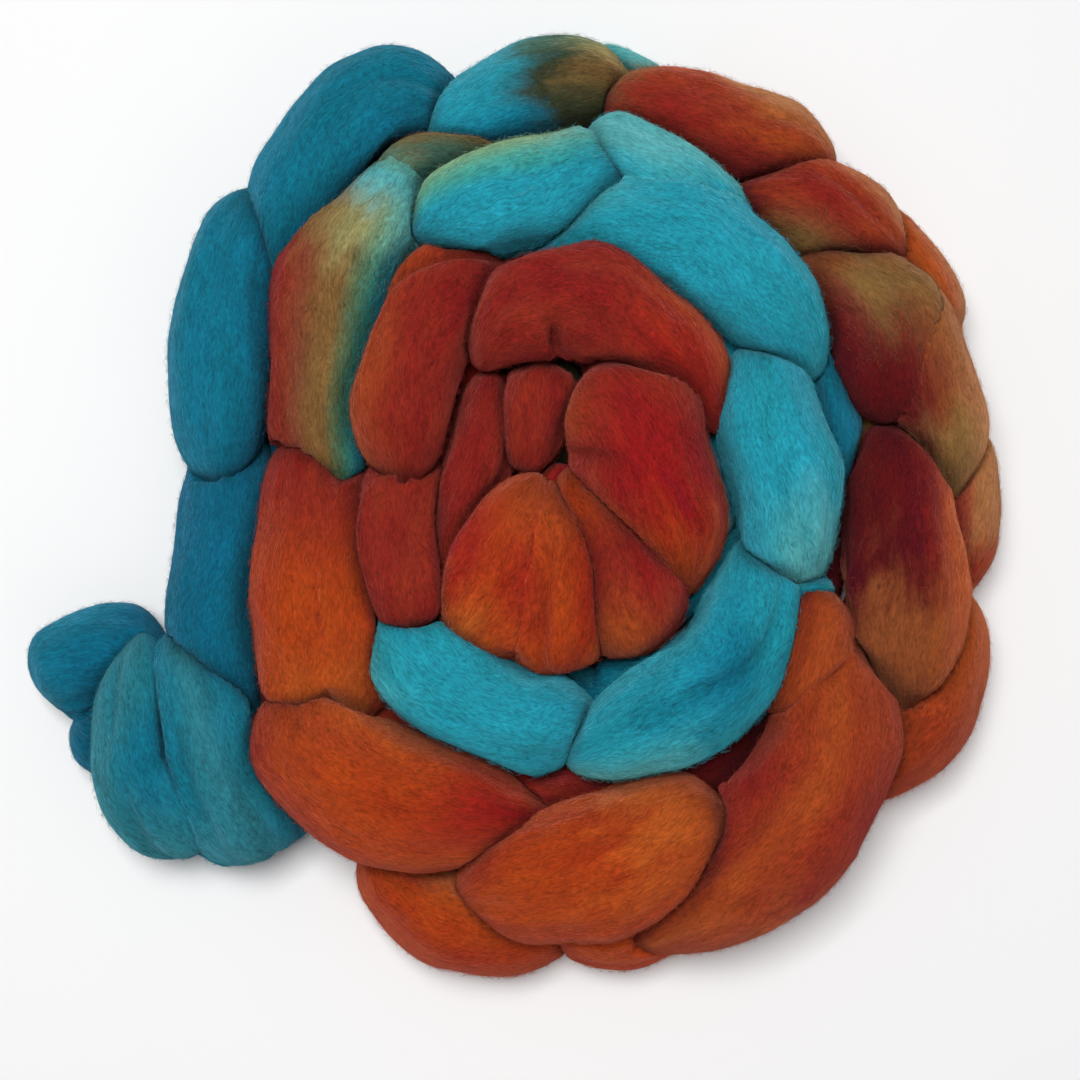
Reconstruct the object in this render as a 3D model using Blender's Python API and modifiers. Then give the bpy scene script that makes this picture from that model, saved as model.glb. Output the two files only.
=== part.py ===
"""A length of combed wool top, chain-braided by hand and wound flat in a spiral coil.

The top is a soft rope of combed fibre with no twist in it. It is looped through itself like a crochet
chain, so that the braid shows plump, spindle-shaped strands which dive under one another. The braid
starts at a loose tail at the front left, runs clockwise once round the outside, then round again
higher up and further in, and ends in a flared fan at the middle. The coil is one solid of its wound
form and main strands, with its underside pressed flat where it lies on the table.

Run it with: blender --background --python part.py
"""

import math
from collections import namedtuple

import bmesh
import bpy
from mathutils import Vector

MM = 0.001

# ---------------------------------------------------------------- driving dimensions, in millimetres
FIRMNESS = 2.2  # how long a strand keeps its full girth before it narrows: 2 is a parabola
ROUND_END = 0.50  # share of a strand's half length after which its end is rounded off
LEAST_GIRTH = 0.02  # girth left at the very tip, as a share of the middle's
STATIONS = 17  # sections along one strand
SIDES = 16  # corners of one section
VOXEL = 3.2  # grain at which the strands are pressed into one body
RELAX = 3  # rounds of smoothing over the pressed body
KEPT_FACES = 0.13  # share of the pressed body's faces that the finished solid keeps
WELD = 0.001  # points of one strand nearer than this are one point
TABLE_SIZE = 1000.0  # side of the block that stands for the table

UNDER_SINK = 2.0  # how far the underside strands would reach through the table if it didn't press them flat
UNDER_BITE = 8.0  # how far they reach up into the strands above them
UNDER_WIDTH = 27.0
UNDER_INSETS = (-1.0, 17.0)  # how far the outer and the inner row sit inward of the strands above
UNDER_OVERRUN = 0.15  # how far each strand runs on past the two places it joins, as a share of its length
UNDER_SLANT = 5.0  # sideways step at each end, across the braid
UNDER_DIP = 3.0  # how far the ends rise towards the strands above
UNDER_TAPER = 0.6  # girth of the ends as a share of the middle

# ---------------------------------------------------------------- the strands that show
# Each strand starts under its neighbour at `start`, passes over `middle` and dives under the next one at
# `end` (x to the right, y to the back). `width` and `thick` are its girth in plan and in height, `crest` is
# the height of its top at the middle. `sink_in` and `sink_out` are how far its centreline drops at the two
# ends, `taper_in` and `taper_out` are the girth left there as a share of the middle's.
Strand = namedtuple(
    "Strand", "name start middle end width thick crest sink_in sink_out taper_in taper_out"
)

STRANDS = [
    # the loose tail, folded back and spread on the table
    Strand("tail_tongue", (-100, -44), (-122, -47), (-137, -55), 40, 31, 31, -1, 1, 0.65, 0.68),
    Strand("tail_tongue_low", (-102, -62), (-116, -65), (-130, -61), 27, 29, 28, 0, 0, 0.70, 0.70),
    Strand("tail_flap_left", (-107, -36), (-104, -70), (-93, -98), 35, 30, 42, 2, 9, 0.45, 0.95),
    Strand("tail_flap_right", (-95, -34), (-85, -69), (-69, -99), 36, 32, 45, 3, 12, 0.55, 0.98),
    Strand("tail_sole", (-110, -75), (-86, -88), (-58, -84), 27, 30, 30, 0, 0, 0.80, 0.80),
    # the outer turn, round the back
    Strand("left_low", (-80, -78), (-84, -28), (-79, 28), 31, 30, 44, 12, 12, 0.60, 0.70),
    Strand("left", (-85, 6), (-81, 53), (-70, 95), 36, 32, 49, 4, 10, 0.70, 0.60),
    Strand("top_left", (-66, 44), (-51, 102), (-12, 119), 38, 32, 51, 9, 11, 0.60, 0.60),
    Strand("top", (-29, 102), (4, 120), (38, 121), 30, 30, 48, 6, 13, 0.60, 0.55),
    Strand("top_edge", (14, 129), (30, 130), (48, 125), 15, 32, 32, 1, 1, 0.60, 0.50),
    Strand("top_right", (24, 117), (57, 110), (92, 96), 30, 30, 50, 5, 5, 0.65, 0.80),
    Strand("right_high", (62, 91), (87, 85), (113, 71), 26, 29, 51, 9, 6, 0.60, 0.70),
    Strand("right_high_edge", (97, 87), (116, 71), (126, 44), 21, 36, 38, 1, 1, 0.60, 0.60),
    # the outer turn, round the front
    Strand("right", (104, 66), (118, 36), (127, 2), 28, 32, 50, 4, 9, 0.60, 0.60),
    Strand("right_in", (84, 76), (104, 50), (110, 24), 35, 32, 53, 10, 8, 0.60, 0.70),
    Strand("right_edge", (129, 26), (134, 1), (126, -28), 18, 34, 34, 1, 1, 0.55, 0.60),
    Strand("right_low", (105, 24), (110, -16), (112, -60), 35, 34, 53, 10, 10, 0.65, 0.65),
    Strand("low_right_edge", (126, -22), (115, -56), (87, -84), 36, 38, 39, 1, 1, 0.60, 0.60),
    Strand("low_right_fold", (88, -25), (79, -42), (70, -56), 28, 30, 52, 6, 4, 0.70, 0.70),
    Strand("low_right_back", (74, -42), (61, -68), (44, -84), 26, 34, 36, 0, 0, 0.75, 0.75),
    Strand("low_right", (90, -38), (80, -84), (34, -124), 43, 38, 55, 9, 12, 0.85, 0.60),
    Strand("low_edge", (8, -122), (34, -123), (66, -113), 17, 30, 30, 1, 1, 0.60, 0.55),
    Strand("low", (-17, -110), (24, -101), (60, -86), 41, 36, 55, 9, 4, 0.55, 0.85),
    Strand("low_left_edge", (-42, -95), (-20, -118), (18, -126), 28, 36, 36, 2, 4, 0.60, 0.55),
    Strand("low_left", (-66, -52), (-41, -78), (12, -87), 42, 38, 55, 8, 8, 0.75, 0.65),
    Strand("left_back", (-67, -63), (-69, -40), (-65, -5), 16, 26, 40, 3, 3, 0.65, 0.65),
    # the middle turn
    Strand("mid_left_low", (-59, -62), (-62, -28), (-59, 24), 29, 28, 51, 8, 4, 0.80, 0.70),
    Strand("mid_left_low_in", (-43, -62), (-45, -28), (-46, 10), 28, 30, 52, 8, 8, 0.80, 0.60),
    Strand("mid_left", (-53, -4), (-50, 63), (-22, 98), 39, 33, 56, 12, 10, 0.75, 0.70),
    Strand("mid_left_bow", (-44, 92), (-21, 98), (1, 93), 18, 24, 50, 3, 3, 0.70, 0.70),
    Strand("mid_top", (-28, 76), (1, 87), (36, 95), 34, 32, 60, 4, 8, 0.65, 0.70),
    Strand("mid_top_edge", (18, 102), (42, 95), (66, 75), 22, 26, 56, 6, 6, 0.60, 0.60),
    Strand("mid_top_right", (2, 72), (52, 71), (85, 36), 35, 34, 62, 9, 7, 0.55, 0.65),
    Strand("mid_right_back", (84, 48), (92, 29), (91, 4), 13, 26, 42, 4, 4, 0.60, 0.60),
    Strand("mid_right", (67, 46), (75, 9), (81, -30), 34, 33, 60, 10, 14, 0.55, 0.45),
    Strand("mid_low_back", (91, -23), (78, -30), (71, -45), 16, 24, 46, 3, 6, 0.50, 0.70),
    Strand("mid_low_right", (65, -9), (59, -47), (13, -71), 35, 33, 58, 8, 4, 0.60, 0.75),
    Strand("mid_low", (24, -60), (-13, -55), (-38, -26), 36, 32, 57, 12, 6, 0.60, 0.80),
    Strand("mid_low_under", (-50, -50), (-18, -75), (32, -82), 26, 36, 38, 0, 0, 0.80, 0.80),
    # the inner turn, and the fan that ends it
    Strand("in_left_low", (-28, -44), (-32, -12), (-31, 20), 28, 30, 56, 4, 18, 0.75, 0.70),
    Strand("in_left", (-32, 2), (-27, 48), (-4, 70), 33, 31, 60, 4, 12, 0.70, 0.60),
    Strand("in_core", (-6, 38), (-13, 6), (-24, -30), 22, 28, 50, 2, 4, 0.75, 0.75),
    Strand("in_pit", (-6, 50), (10, 28), (22, 4), 38, 34, 37, 0, 0, 0.80, 0.80),
    Strand("in_top", (-9, 36), (21, 56), (61, 19), 33, 32, 66, 4, 10, 0.62, 0.62),
    Strand("in_right", (23, 36), (36, 15), (48, -26), 42, 34, 64, 7, 11, 0.75, 0.60),
    Strand("in_middle", (10, 38), (6, 25), (2, 12), 24, 28, 52, 6, 7, 0.80, 0.70),
    Strand("fan_left", (8, 8), (-3, -18), (-15, -41), 36, 26, 57, 3, 5, 0.45, 1.00),
    Strand("fan_mid", (11, 6), (13, -22), (15, -47), 35, 27, 58, 3, 5, 0.45, 1.00),
    Strand("fan_right", (16, 10), (27, -18), (34, -43), 38, 26, 57, 3, 5, 0.45, 1.00),
]

# The strands above the braid's middle line, in the order in which the braid passes under them.
BRAID = (
    "tail_flap_right left_low left top_left top top_right right_high right_in right_low low_right low low_left "
    "mid_left_low mid_left mid_top mid_top_right mid_right mid_low_right mid_low "
    "in_left_low in_left in_top in_right fan_mid"
).split()


def clear_scene():
    for old in list(bpy.data.objects):
        bpy.data.objects.remove(old, do_unlink=True)


def new_collection(name):
    collection = bpy.data.collections.new(name)
    bpy.context.scene.collection.children.link(collection)
    return collection


def wool_material():
    """Combed wool, dyed rust and orange: a matt, fibrous surface."""
    material = bpy.data.materials.new("dyed_wool")
    material.use_nodes = True
    surface = material.node_tree.nodes["Principled BSDF"]
    surface.inputs["Base Color"].default_value = (0.33, 0.06, 0.02, 1.0)
    surface.inputs["Roughness"].default_value = 0.95
    surface.inputs["Metallic"].default_value = 0.0
    return material


def girth(along, strand):
    """A strand's girth at `along`, from 0 to 1, as a share of its girth at the middle."""
    from_middle = abs(2 * along - 1)
    taper = strand.taper_in if along < 0.5 else strand.taper_out
    share = 1 - (1 - taper) * from_middle**FIRMNESS
    if from_middle > ROUND_END:
        past = (from_middle - ROUND_END) / (1 - ROUND_END)
        share *= math.sqrt(max(0.0, 1 - past**2))
    return max(share, LEAST_GIRTH)


def centreline(strand):
    """Points along a strand's middle: a parabola that passes over its `middle`."""
    height = strand.crest - strand.thick / 2
    start = Vector((*strand.start, height - strand.sink_in))
    middle = Vector((*strand.middle, height))
    end = Vector((*strand.end, height - strand.sink_out))
    pull = 2 * middle - (start + end) / 2
    points = []
    for station in range(STATIONS):
        t = station / (STATIONS - 1)
        points.append((1 - t) ** 2 * start + 2 * t * (1 - t) * pull + t**2 * end)
    return points


def section_outline(strand, collection):
    """The oval section of a strand at its middle, as the outline that its curve carries along."""
    outline = bpy.data.curves.new(strand.name + "_section", "CURVE")
    outline.dimensions = "2D"
    ring = outline.splines.new("POLY")
    ring.points.add(SIDES - 1)
    for corner, point in enumerate(ring.points):
        angle = 2 * math.pi * corner / SIDES
        x = math.cos(angle) * strand.width / 2 * MM
        y = math.sin(angle) * strand.thick / 2 * MM
        point.co = (x, y, 0, 1)
    ring.use_cyclic_u = True
    section = bpy.data.objects.new(outline.name, outline)
    section.hide_render = True
    section.display_type = "WIRE"
    collection.objects.link(section)
    return section


def strand_mesh(strand, collection):
    """One strand as a closed mesh: its section swept along its centreline, kept upright, ends capped."""
    section = section_outline(strand, collection)
    path = bpy.data.curves.new(strand.name, "CURVE")
    path.dimensions = "3D"
    path.twist_mode = "Z_UP"
    path.bevel_mode = "OBJECT"
    path.bevel_object = section
    path.use_fill_caps = True
    line = path.splines.new("POLY")
    line.points.add(STATIONS - 1)
    for station, (point, place) in enumerate(zip(line.points, centreline(strand))):
        point.co = (*(place * MM), 1)
        point.radius = girth(station / (STATIONS - 1), strand)
    rope = bpy.data.objects.new(strand.name, path)
    collection.objects.link(rope)
    mesh = bpy.data.meshes.new_from_object(rope.evaluated_get(bpy.context.evaluated_depsgraph_get()))
    bpy.data.objects.remove(rope, do_unlink=True)
    bpy.data.objects.remove(section, do_unlink=True)
    return mesh


def underside_row(places, inset, name):
    """Strands of the braid's underside, from each of `places` to the next, a step towards the coil's middle."""
    row = []
    for number, ((a, low_a), (b, low_b)) in enumerate(zip(places, places[1:])):
        along = (b - a).normalized()
        inward = Vector((along.y, -along.x))
        slant = inward * UNDER_SLANT
        overrun = (b - a) * UNDER_OVERRUN
        head = overrun * bool(number)  # the first strand of a row has nothing to run back under
        top = min(low_a, low_b) + UNDER_BITE
        row.append(
            Strand(
                f"{name}_{number}",
                tuple(a - head + inward * inset - slant),
                tuple((a + b) / 2 + inward * inset),
                tuple(b + overrun + inward * inset + slant),
                UNDER_WIDTH,
                top + UNDER_SINK,
                top,
                -UNDER_DIP,
                -UNDER_DIP,
                UNDER_TAPER,
                UNDER_TAPER,
            )
        )
    return row


def all_strands():
    """The strands that show, and the two rows under them: one below the middles, one below the crossings."""
    by_name = {strand.name: strand for strand in STRANDS}
    braid = [by_name[name] for name in BRAID]
    middles = [(Vector(s.middle), s.crest - s.thick) for s in braid]
    crossings = [
        ((Vector(a.end) + Vector(b.start)) / 2, min(a.crest - a.thick, b.crest - b.thick))
        for a, b in zip(braid, braid[1:])
    ]
    outer = underside_row(middles, UNDER_INSETS[0], "under_outer")
    inner = underside_row(crossings, UNDER_INSETS[1], "under_inner")
    return STRANDS + outer + inner


def evaluated(obj):
    depsgraph = bpy.context.evaluated_depsgraph_get()
    return bpy.data.meshes.new_from_object(obj.evaluated_get(depsgraph), depsgraph=depsgraph)


def join_strands(name, collection):
    """All the strands in one mesh, still as separate closed shells that overlap."""
    shells = bmesh.new()
    for strand in all_strands():
        mesh = strand_mesh(strand, collection)
        shells.from_mesh(mesh)
        bpy.data.meshes.remove(mesh)
    bmesh.ops.remove_doubles(shells, verts=shells.verts, dist=WELD * MM)
    joined = bpy.data.meshes.new(name)
    shells.to_mesh(joined)
    shells.free()
    obj = bpy.data.objects.new(name, joined)
    collection.objects.link(obj)
    return obj


def keep_outer_shell(mesh):
    """Drops the small closed hollows that are left between strands, which nothing can reach."""
    body = bmesh.new()
    body.from_mesh(mesh)
    body.verts.ensure_lookup_table()
    shells = []
    seen = set()
    for vert in body.verts:
        if vert in seen:
            continue
        shell = {vert}
        front = [vert]
        while front:
            for edge in front.pop().link_edges:
                for other in edge.verts:
                    if other not in shell:
                        shell.add(other)
                        front.append(other)
        seen |= shell
        shells.append(shell)
    outer = max(shells, key=len)
    bmesh.ops.delete(body, geom=[v for v in body.verts if v not in outer], context="VERTS")
    body.to_mesh(mesh)
    body.free()


def table_block(collection):
    """The cutter that stands for the table: everything below height 0."""
    size = TABLE_SIZE * MM
    bpy.ops.mesh.primitive_cube_add(size=size, location=(0, 0, -size / 2))
    block = bpy.context.active_object
    block.name = "table"
    block.hide_render = True
    block.display_type = "WIRE"
    for holder in list(block.users_collection):
        holder.objects.unlink(block)
    collection.objects.link(block)
    return block


def build_coil(name, parts, cutters):
    coil = join_strands(name, parts)
    press = coil.modifiers.new("press_together", "REMESH")
    press.mode = "VOXEL"
    press.voxel_size = VOXEL * MM
    relax = coil.modifiers.new("relax", "SMOOTH")
    relax.iterations = RELAX
    pressed = evaluated(coil)
    keep_outer_shell(pressed)
    coil.modifiers.clear()
    coil.data = pressed

    thin = coil.modifiers.new("fewer_faces", "DECIMATE")
    thin.ratio = KEPT_FACES
    thin.use_collapse_triangulate = True
    rest = coil.modifiers.new("rest_on_table", "BOOLEAN")
    rest.operation = "DIFFERENCE"
    rest.solver = "EXACT"
    rest.object = table_block(cutters)
    return coil


def stand_on_origin(coil):
    """Moves the coil so that the middle of its base is at the origin."""
    mesh = evaluated(coil)
    xs, ys, zs = zip(*(vert.co for vert in mesh.vertices))
    middle = Vector(((min(xs) + max(xs)) / 2, (min(ys) + max(ys)) / 2, 0))
    coil.modifiers.clear()
    coil.data = mesh
    for vert in mesh.vertices:
        vert.co -= middle


def main():
    clear_scene()
    parts = new_collection("wool_roving")
    cutters = new_collection("cutters")
    coil = build_coil("roving_coil", parts, cutters)
    stand_on_origin(coil)
    coil.data.materials.clear()
    coil.data.materials.append(wool_material())


main()
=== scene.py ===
"""Looks of a hand-dyed combed wool top, chain-braided and wound flat in a spiral coil.

Every strand of the braid that shows is a soft rope of its own: plump in the middle, narrow where it dives
under its neighbours, and pressed to a crease wherever it meets one. Over the strands lie loose fibres.
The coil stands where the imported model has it, on the table at height 0.
"""

import math
from collections import namedtuple

import bpy
import numpy as np
from bpy.props import EnumProperty, FloatProperty, FloatVectorProperty, IntProperty, PointerProperty
from bpy.types import Operator, Panel, PropertyGroup
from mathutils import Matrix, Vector


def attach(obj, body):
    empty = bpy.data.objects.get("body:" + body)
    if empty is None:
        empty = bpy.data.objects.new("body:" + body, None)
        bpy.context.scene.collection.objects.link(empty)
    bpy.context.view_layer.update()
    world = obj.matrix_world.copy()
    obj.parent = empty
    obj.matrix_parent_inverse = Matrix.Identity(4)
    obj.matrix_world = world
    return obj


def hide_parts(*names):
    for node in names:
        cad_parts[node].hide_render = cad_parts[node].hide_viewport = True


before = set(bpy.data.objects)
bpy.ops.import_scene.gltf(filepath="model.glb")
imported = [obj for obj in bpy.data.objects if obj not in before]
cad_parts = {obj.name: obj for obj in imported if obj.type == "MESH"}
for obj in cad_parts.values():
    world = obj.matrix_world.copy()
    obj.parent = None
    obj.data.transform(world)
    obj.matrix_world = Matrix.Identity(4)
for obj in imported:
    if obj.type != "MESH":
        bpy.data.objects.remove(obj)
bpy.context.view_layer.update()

bl_info = {
    "name": "Wool roving",
    "version": (1, 0, 0),
    "blender": (4, 5, 0),
    "location": "3D Viewport > Sidebar > Wool roving",
    "description": "Dresses the wound coil in strands of dyed combed wool with loose fibres",
    "category": "Object",
}

MM = 0.001
COIL = "roving_coil"
BAKE_MAP = "OFBake"  # name of the map on which each piece's strands are laid out, each in a square of its own

# ---------------------------------------------------------------- the strands, in millimetres
# The same chart as the solid coil's. Each strand starts under its neighbour at `start`, passes over
# `middle` and dives under the next one at `end`. `width` and `thick` are its girth in plan and in height,
# `crest` is the height of its top at the middle. `sink_in` and `sink_out` are how far its centreline drops
# at the two ends, `taper_in` and `taper_out` the girth left there as a share of the middle's.
Strand = namedtuple("Strand", "name start middle end width thick crest sink_in sink_out taper_in taper_out")

TAIL = [
    Strand("tail_tongue", (-100, -44), (-122, -47), (-137, -55), 40, 31, 31, -1, 1, 0.65, 0.68),
    Strand("tail_tongue_low", (-102, -62), (-116, -65), (-130, -61), 27, 29, 28, 0, 0, 0.70, 0.70),
    Strand("tail_flap_left", (-107, -36), (-104, -70), (-93, -98), 35, 30, 42, 2, 9, 0.45, 0.95),
    Strand("tail_flap_right", (-95, -34), (-85, -69), (-69, -99), 36, 32, 45, 3, 12, 0.55, 0.98),
    Strand("tail_sole", (-110, -75), (-86, -88), (-58, -84), 27, 30, 30, 0, 0, 0.80, 0.80),
]
OUTER_BACK = [
    Strand("left_low", (-80, -78), (-84, -28), (-79, 28), 31, 30, 44, 12, 12, 0.60, 0.70),
    Strand("left", (-85, 6), (-81, 53), (-70, 95), 36, 32, 49, 4, 10, 0.70, 0.60),
    Strand("top_left", (-66, 44), (-51, 102), (-12, 119), 38, 32, 51, 9, 11, 0.60, 0.60),
    Strand("top", (-29, 102), (4, 120), (38, 121), 30, 30, 48, 6, 13, 0.60, 0.55),
    Strand("top_edge", (14, 129), (30, 130), (48, 125), 15, 32, 32, 1, 1, 0.60, 0.50),
    Strand("top_right", (24, 117), (57, 110), (92, 96), 30, 30, 50, 5, 5, 0.65, 0.80),
    Strand("right_high", (62, 91), (87, 85), (113, 71), 26, 29, 51, 9, 6, 0.60, 0.70),
    Strand("right_high_edge", (97, 87), (116, 71), (126, 44), 21, 36, 38, 1, 1, 0.60, 0.60),
]
OUTER_FRONT = [
    Strand("right", (104, 66), (118, 36), (127, 2), 28, 32, 50, 4, 9, 0.60, 0.60),
    Strand("right_in", (84, 76), (104, 50), (110, 24), 35, 32, 53, 10, 8, 0.60, 0.70),
    Strand("right_edge", (129, 26), (134, 1), (126, -28), 18, 34, 34, 1, 1, 0.55, 0.60),
    Strand("right_low", (105, 24), (110, -16), (112, -60), 35, 34, 53, 10, 10, 0.65, 0.65),
    Strand("low_right_edge", (126, -22), (115, -56), (87, -84), 36, 38, 39, 1, 1, 0.60, 0.60),
    Strand("low_right_fold", (88, -25), (79, -42), (70, -56), 28, 30, 52, 6, 4, 0.70, 0.70),
    Strand("low_right_back", (74, -42), (61, -68), (44, -84), 26, 34, 36, 0, 0, 0.75, 0.75),
    Strand("low_right", (90, -38), (80, -84), (34, -124), 43, 38, 55, 9, 12, 0.85, 0.60),
    Strand("low_edge", (8, -122), (34, -123), (66, -113), 17, 30, 30, 1, 1, 0.60, 0.55),
    Strand("low", (-17, -110), (24, -101), (60, -86), 41, 36, 55, 9, 4, 0.55, 0.85),
    Strand("low_left_edge", (-42, -95), (-20, -118), (18, -126), 28, 36, 36, 2, 4, 0.60, 0.55),
    Strand("low_left", (-66, -52), (-41, -78), (12, -87), 42, 38, 55, 8, 8, 0.75, 0.65),
    Strand("left_back", (-67, -63), (-69, -40), (-65, -5), 16, 26, 40, 3, 3, 0.65, 0.65),
]
MIDDLE_TURN = [
    Strand("mid_left_low", (-59, -62), (-62, -28), (-59, 24), 29, 28, 51, 8, 4, 0.80, 0.70),
    Strand("mid_left_low_in", (-43, -62), (-45, -28), (-46, 10), 28, 30, 52, 8, 8, 0.80, 0.60),
    Strand("mid_left", (-53, -4), (-50, 63), (-22, 98), 39, 33, 56, 12, 10, 0.75, 0.70),
    Strand("mid_left_bow", (-44, 92), (-21, 98), (1, 93), 18, 24, 50, 3, 3, 0.70, 0.70),
    Strand("mid_top", (-28, 76), (1, 87), (36, 95), 34, 32, 60, 4, 8, 0.65, 0.70),
    Strand("mid_top_edge", (18, 102), (42, 95), (66, 75), 22, 26, 56, 6, 6, 0.60, 0.60),
    Strand("mid_top_right", (2, 72), (52, 71), (85, 36), 35, 34, 62, 9, 7, 0.55, 0.65),
    Strand("mid_right_back", (84, 48), (92, 29), (91, 4), 13, 26, 42, 4, 4, 0.60, 0.60),
    Strand("mid_right", (67, 46), (75, 9), (81, -30), 34, 33, 60, 10, 14, 0.55, 0.45),
    Strand("mid_low_back", (91, -23), (78, -30), (71, -45), 16, 24, 46, 3, 6, 0.50, 0.70),
    Strand("mid_low_right", (65, -9), (59, -47), (13, -71), 35, 33, 58, 8, 4, 0.60, 0.75),
    Strand("mid_low", (24, -60), (-13, -55), (-38, -26), 36, 32, 57, 12, 6, 0.60, 0.80),
    Strand("mid_low_under", (-50, -50), (-18, -75), (32, -82), 26, 36, 38, 0, 0, 0.80, 0.80),
]
INNER_TURN = [
    Strand("in_left_low", (-28, -44), (-32, -12), (-31, 20), 28, 30, 56, 4, 18, 0.75, 0.70),
    Strand("in_left", (-32, 2), (-27, 48), (-4, 70), 33, 31, 60, 4, 12, 0.70, 0.60),
    Strand("in_core", (-6, 38), (-13, 6), (-24, -30), 22, 28, 50, 2, 4, 0.75, 0.75),
    Strand("in_pit", (-6, 50), (10, 28), (22, 4), 38, 34, 37, 0, 0, 0.80, 0.80),
    Strand("in_top", (-9, 36), (21, 56), (61, 19), 33, 32, 66, 4, 10, 0.62, 0.62),
    Strand("in_right", (23, 36), (36, 15), (48, -26), 42, 34, 64, 7, 11, 0.75, 0.60),
    Strand("in_middle", (10, 38), (6, 25), (2, 12), 24, 28, 52, 6, 7, 0.80, 0.70),
    Strand("fan_left", (8, 8), (-3, -18), (-15, -41), 36, 26, 57, 3, 5, 0.45, 1.00),
    Strand("fan_mid", (11, 6), (13, -22), (15, -47), 35, 27, 58, 3, 5, 0.45, 1.00),
    Strand("fan_right", (16, 10), (27, -18), (34, -43), 38, 26, 57, 3, 5, 0.45, 1.00),
]

# The strands over the braid's middle line, in the order in which the braid passes under them.
BRAID = (
    "tail_flap_right left_low left top_left top top_right right_high right_in right_low low_right low "
    "low_left mid_left_low mid_left mid_top mid_top_right mid_right mid_low_right mid_low "
    "in_left_low in_left in_top in_right fan_mid"
).split()

# ---------------------------------------------------------------- the dye, strand by strand
# How each strand is dyed at its start, middle and end, on its left flank, its crown and its right flank,
# as seen when following it from start to end. One word is one dye all along.
Dyed = namedtuple("Dyed", "left crown right")

DYE_CHART = {
    "tail_tongue": Dyed("deep_teal", "deep_teal deep_teal teal", "deep_teal teal teal"),
    "tail_tongue_low": Dyed("deep_teal", "deep_teal", "deep_teal"),
    "tail_flap_left": Dyed("teal deep_teal teal", "grey_teal teal grey_teal", "grey_teal"),
    "tail_flap_right": Dyed("teal teal deep_teal", "grey_teal", "teal teal grey_teal"),
    "tail_sole": Dyed("teal", "teal grey_teal grey_teal", "teal"),
    "left_low": Dyed("deep_teal", "deep_teal", "deep_teal"),
    "left": Dyed("teal", "teal", "deep_teal"),
    "top_left": Dyed("teal", "teal", "deep_teal"),
    "top": Dyed("turquoise moss gold", "turquoise olive khaki", "deep_teal olive olive"),
    "top_edge": Dyed("pale_turquoise", "pale_turquoise pale_turquoise khaki", "khaki"),
    "top_right": Dyed("khaki russet honey", "khaki rust russet", "rust rust maroon"),
    "right_high": Dyed("russet russet honey", "maroon rust russet", "maroon khaki maroon"),
    "right_high_edge": Dyed("amber honey honey", "russet amber honey", "rust"),
    "right": Dyed("russet honey honey", "khaki brown khaki", "khaki maroon khaki"),
    "right_in": Dyed("brown khaki brown", "brown khaki maroon", "brown maroon maroon"),
    "right_edge": Dyed("honey honey russet", "honey honey rust", "brown rust rust"),
    "right_low": Dyed("russet amber amber", "maroon maroon brown", "maroon maroon brown"),
    "low_right_edge": Dyed("amber russet orange", "russet", "russet"),
    "low_right_fold": Dyed("russet", "russet", "maroon russet russet"),
    "low_right_back": Dyed("maroon", "maroon", "maroon"),
    "low_right": Dyed("russet rust russet", "russet", "russet rust maroon"),
    "low_edge": Dyed("amber", "orange", "orange"),
    "low": Dyed("orange amber russet", "orange amber russet", "orange"),
    "low_left_edge": Dyed("orange amber amber", "orange", "orange"),
    "low_left": Dyed("amber amber orange", "russet orange red", "rust orange orange"),
    "left_back": Dyed("maroon", "maroon", "maroon"),
    "mid_left_low": Dyed("orange orange rust", "amber orange rust", "amber orange rust"),
    "mid_left_low_in": Dyed("amber orange rust", "amber orange rust", "orange rust rust"),
    "mid_left": Dyed(
        "rust khaki pale_turquoise", "khaki gold pale_turquoise", "turquoise pale_turquoise pale_turquoise"
    ),
    "mid_left_bow": Dyed("khaki", "khaki moss khaki", "moss moss olive"),
    "mid_top": Dyed("sage sage pale_turquoise", "turquoise", "turquoise"),
    "mid_top_edge": Dyed("pale_turquoise", "pale_turquoise pale_turquoise turquoise", "turquoise"),
    "mid_top_right": Dyed("pale_turquoise turquoise turquoise", "turquoise", "turquoise"),
    "mid_right_back": Dyed("teal", "teal", "teal"),
    "mid_right": Dyed(
        "turquoise turquoise pale_turquoise", "turquoise turquoise pale_turquoise", "turquoise"
    ),
    "mid_low_back": Dyed("pale_turquoise", "turquoise", "turquoise"),
    "mid_low_right": Dyed("turquoise turquoise pale_turquoise", "turquoise teal turquoise", "turquoise"),
    "mid_low": Dyed("turquoise turquoise pale_turquoise", "turquoise", "turquoise"),
    "mid_low_under": Dyed("rust", "rust", "rust"),
    "in_left_low": Dyed("rust", "rust", "rust"),
    "in_left": Dyed("russet", "rust", "rust"),
    "in_core": Dyed("rust", "rust", "rust"),
    # in_pit lies deep in the hole at the middle; its dark olive is painted shade for the hole, not its dye.
    "in_pit": Dyed("olive", "olive", "olive"),
    "in_top": Dyed("rust rust orange", "rust rust red", "rust"),
    "in_right": Dyed("russet rust orange", "rust red orange", "russet rust orange"),
    "in_middle": Dyed("rust", "rust", "rust"),
    "fan_left": Dyed("russet russet orange", "russet orange amber", "orange red amber"),
    "fan_mid": Dyed("russet red orange", "russet orange orange", "russet red orange"),
    "fan_right": Dyed("russet red rust", "orange rust russet", "orange rust russet"),
}

# Neighbours that are felted into one form, with no crease between them.
FELTED = (
    {"mid_top_edge", "mid_top_right"},
    {"mid_left", "mid_left_bow"},
    {"low_right", "low_right_fold"},
    {"fan_left", "fan_mid"},
    {"tail_tongue", "tail_tongue_low"},
    {"tail_flap_left", "tail_sole"},
    {"tail_flap_right", "tail_sole"},
    {"tail_flap_left", "tail_flap_right"},
    {"mid_left_low", "mid_left_low_in"},
    {"right", "right_in"},
    {"right", "right_high_edge"},
    {"low", "low_edge"},
)

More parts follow.
